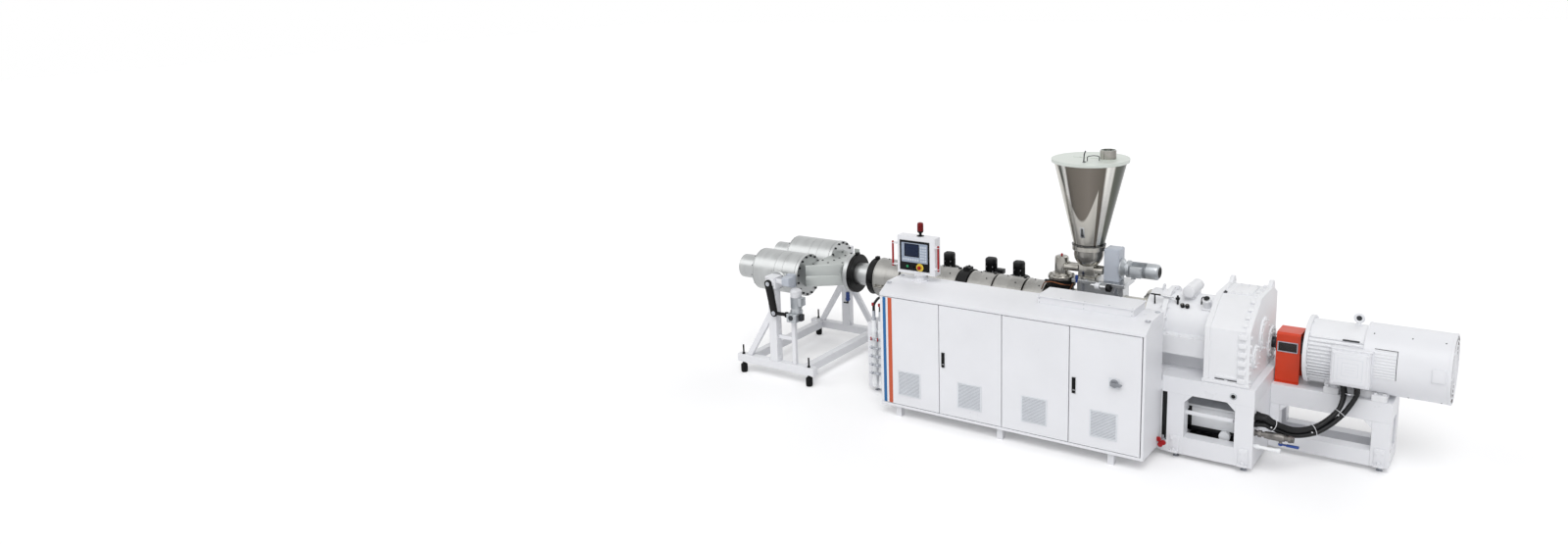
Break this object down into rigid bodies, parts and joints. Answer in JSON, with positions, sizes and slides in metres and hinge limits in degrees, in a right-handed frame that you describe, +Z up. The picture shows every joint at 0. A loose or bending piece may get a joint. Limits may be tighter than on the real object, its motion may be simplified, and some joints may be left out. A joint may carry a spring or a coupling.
{
  "type": "plastic extruder",
  "caption": "Twin-screw plastic extruder with hopper feeder, heated barrel, control cabinet, geared motor drive and a double pipe die on its own stand.",
  "frame": {"origin": "middle of the machine's footprint, at floor level", "axes": "+X along the machine from the die to the drive motor, the cabinet doors face -Y, +Z up"},
  "size_m": [6.364, 1.69, 2.415],
  "materials": {
    "white_paint": "semi-gloss",
    "barrel_steel": "satin",
    "band_steel": "satin",
    "black_paint": "satin",
    "stainless": "polished",
    "die_steel": "satin",
    "feeder_grey": "semi-gloss",
    "motor_grey": "satin",
    "dark_steel": "machined",
    "guard_orange": "semi-gloss",
    "gland_black": "matte",
    "cable_black": "matte",
    "foot_zinc": "zinc plated",
    "switch_grey": "satin",
    "handle_red": "gloss",
    "lamp_red": "gloss",
    "brass": "satin",
    "lever_blue": "satin"
  },
  "bodies": {
    "machine": {"base_frame": "white_paint", "gear_frame": "white_paint", "motor_base": "white_paint", "oil_tank": "white_paint", "feeder_stand": "white_paint", "gear_housing": "white_paint", "gearbox": "white_paint", "motor": "white_paint", "fan_cover": "white_paint", "terminal_box": "white_paint", "cabinet": "white_paint", "roof_box": "white_paint", "panel_pedestal": "white_paint", "die_stand": "white_paint", "barrel": "barrel_steel", "heater_bands": "band_steel", "barrel_clamp": "black_paint", "blowers": "black_paint", "feed_port": "black_paint", "adaptor_heaters": "black_paint", "drive_arm": "black_paint", "stand_feet": "black_paint", "feed_throat": "stainless", "hopper": "stainless", "hopper_lid": "stainless", "dies": "die_steel", "melt_manifold": "die_steel", "adaptor": "die_steel", "feeder_box": "feeder_grey", "feeder_motor": "motor_grey", "drive_motor": "motor_grey", "coupling_guard": "guard_orange", "cable_glands": "gland_black", "motor_cables": "cable_black", "machine_feet": "foot_zinc", "water_pipes": "brass"},
    "door_1": {"door_1": "white_paint"},
    "door_2": {"door_2": "white_paint"},
    "door_3": {"door_3": "white_paint"},
    "door_4": {"door_4": "white_paint"},
    "main_switch": {"main_switch": "switch_grey"},
    "operator_panel": {"operator_panel": "white_paint", "panel_handles": "handle_red", "signal_lamp": "lamp_red"},
    "coupling": {"coupling": "dark_steel"},
    "valve_lever": {"valve_lever": "lever_blue"}
  },
  "joints": [
    {"name": "door_1_hinge", "type": "hinge", "parent": "machine", "child": "door_1", "pos_m": [-1.161, -0.7945, 0.628], "axis": [0, 0, -1], "range_deg": [0, 90]},
    {"name": "door_2_hinge", "type": "hinge", "parent": "machine", "child": "door_2", "pos_m": [-0.009, -0.7945, 0.628], "axis": [0, 0, 1], "range_deg": [0, 90]},
    {"name": "door_3_hinge", "type": "hinge", "parent": "machine", "child": "door_3", "pos_m": [0.023, -0.7945, 0.628], "axis": [0, 0, -1], "range_deg": [0, 90]},
    {"name": "door_4_hinge", "type": "hinge", "parent": "machine", "child": "door_4", "pos_m": [1.175, -0.7945, 0.628], "axis": [0, 0, 1], "range_deg": [0, 90]},
    {"name": "main_switch_turn", "type": "hinge", "parent": "door_4", "child": "main_switch", "pos_m": [0.973, -0.801, 0.71], "axis": [0, -1, 0], "range_deg": [0, 90]},
    {"name": "panel_swivel", "type": "hinge", "parent": "machine", "child": "operator_panel", "pos_m": [-0.919, -0.501, 1.31], "axis": [0, 0, 1], "range_deg": [-60, 60]},
    {"name": "drive_shaft_turn", "type": "hinge", "parent": "machine", "child": "coupling", "pos_m": [2.023, 0.341, 0.87], "axis": [1, 0, 0], "continuous": true},
    {"name": "valve_lever_turn", "type": "hinge", "parent": "machine", "child": "valve_lever", "pos_m": [2.119, -0.319, 0.275], "axis": [0, 0, -1], "range_deg": [0, 90]}
  ]
}
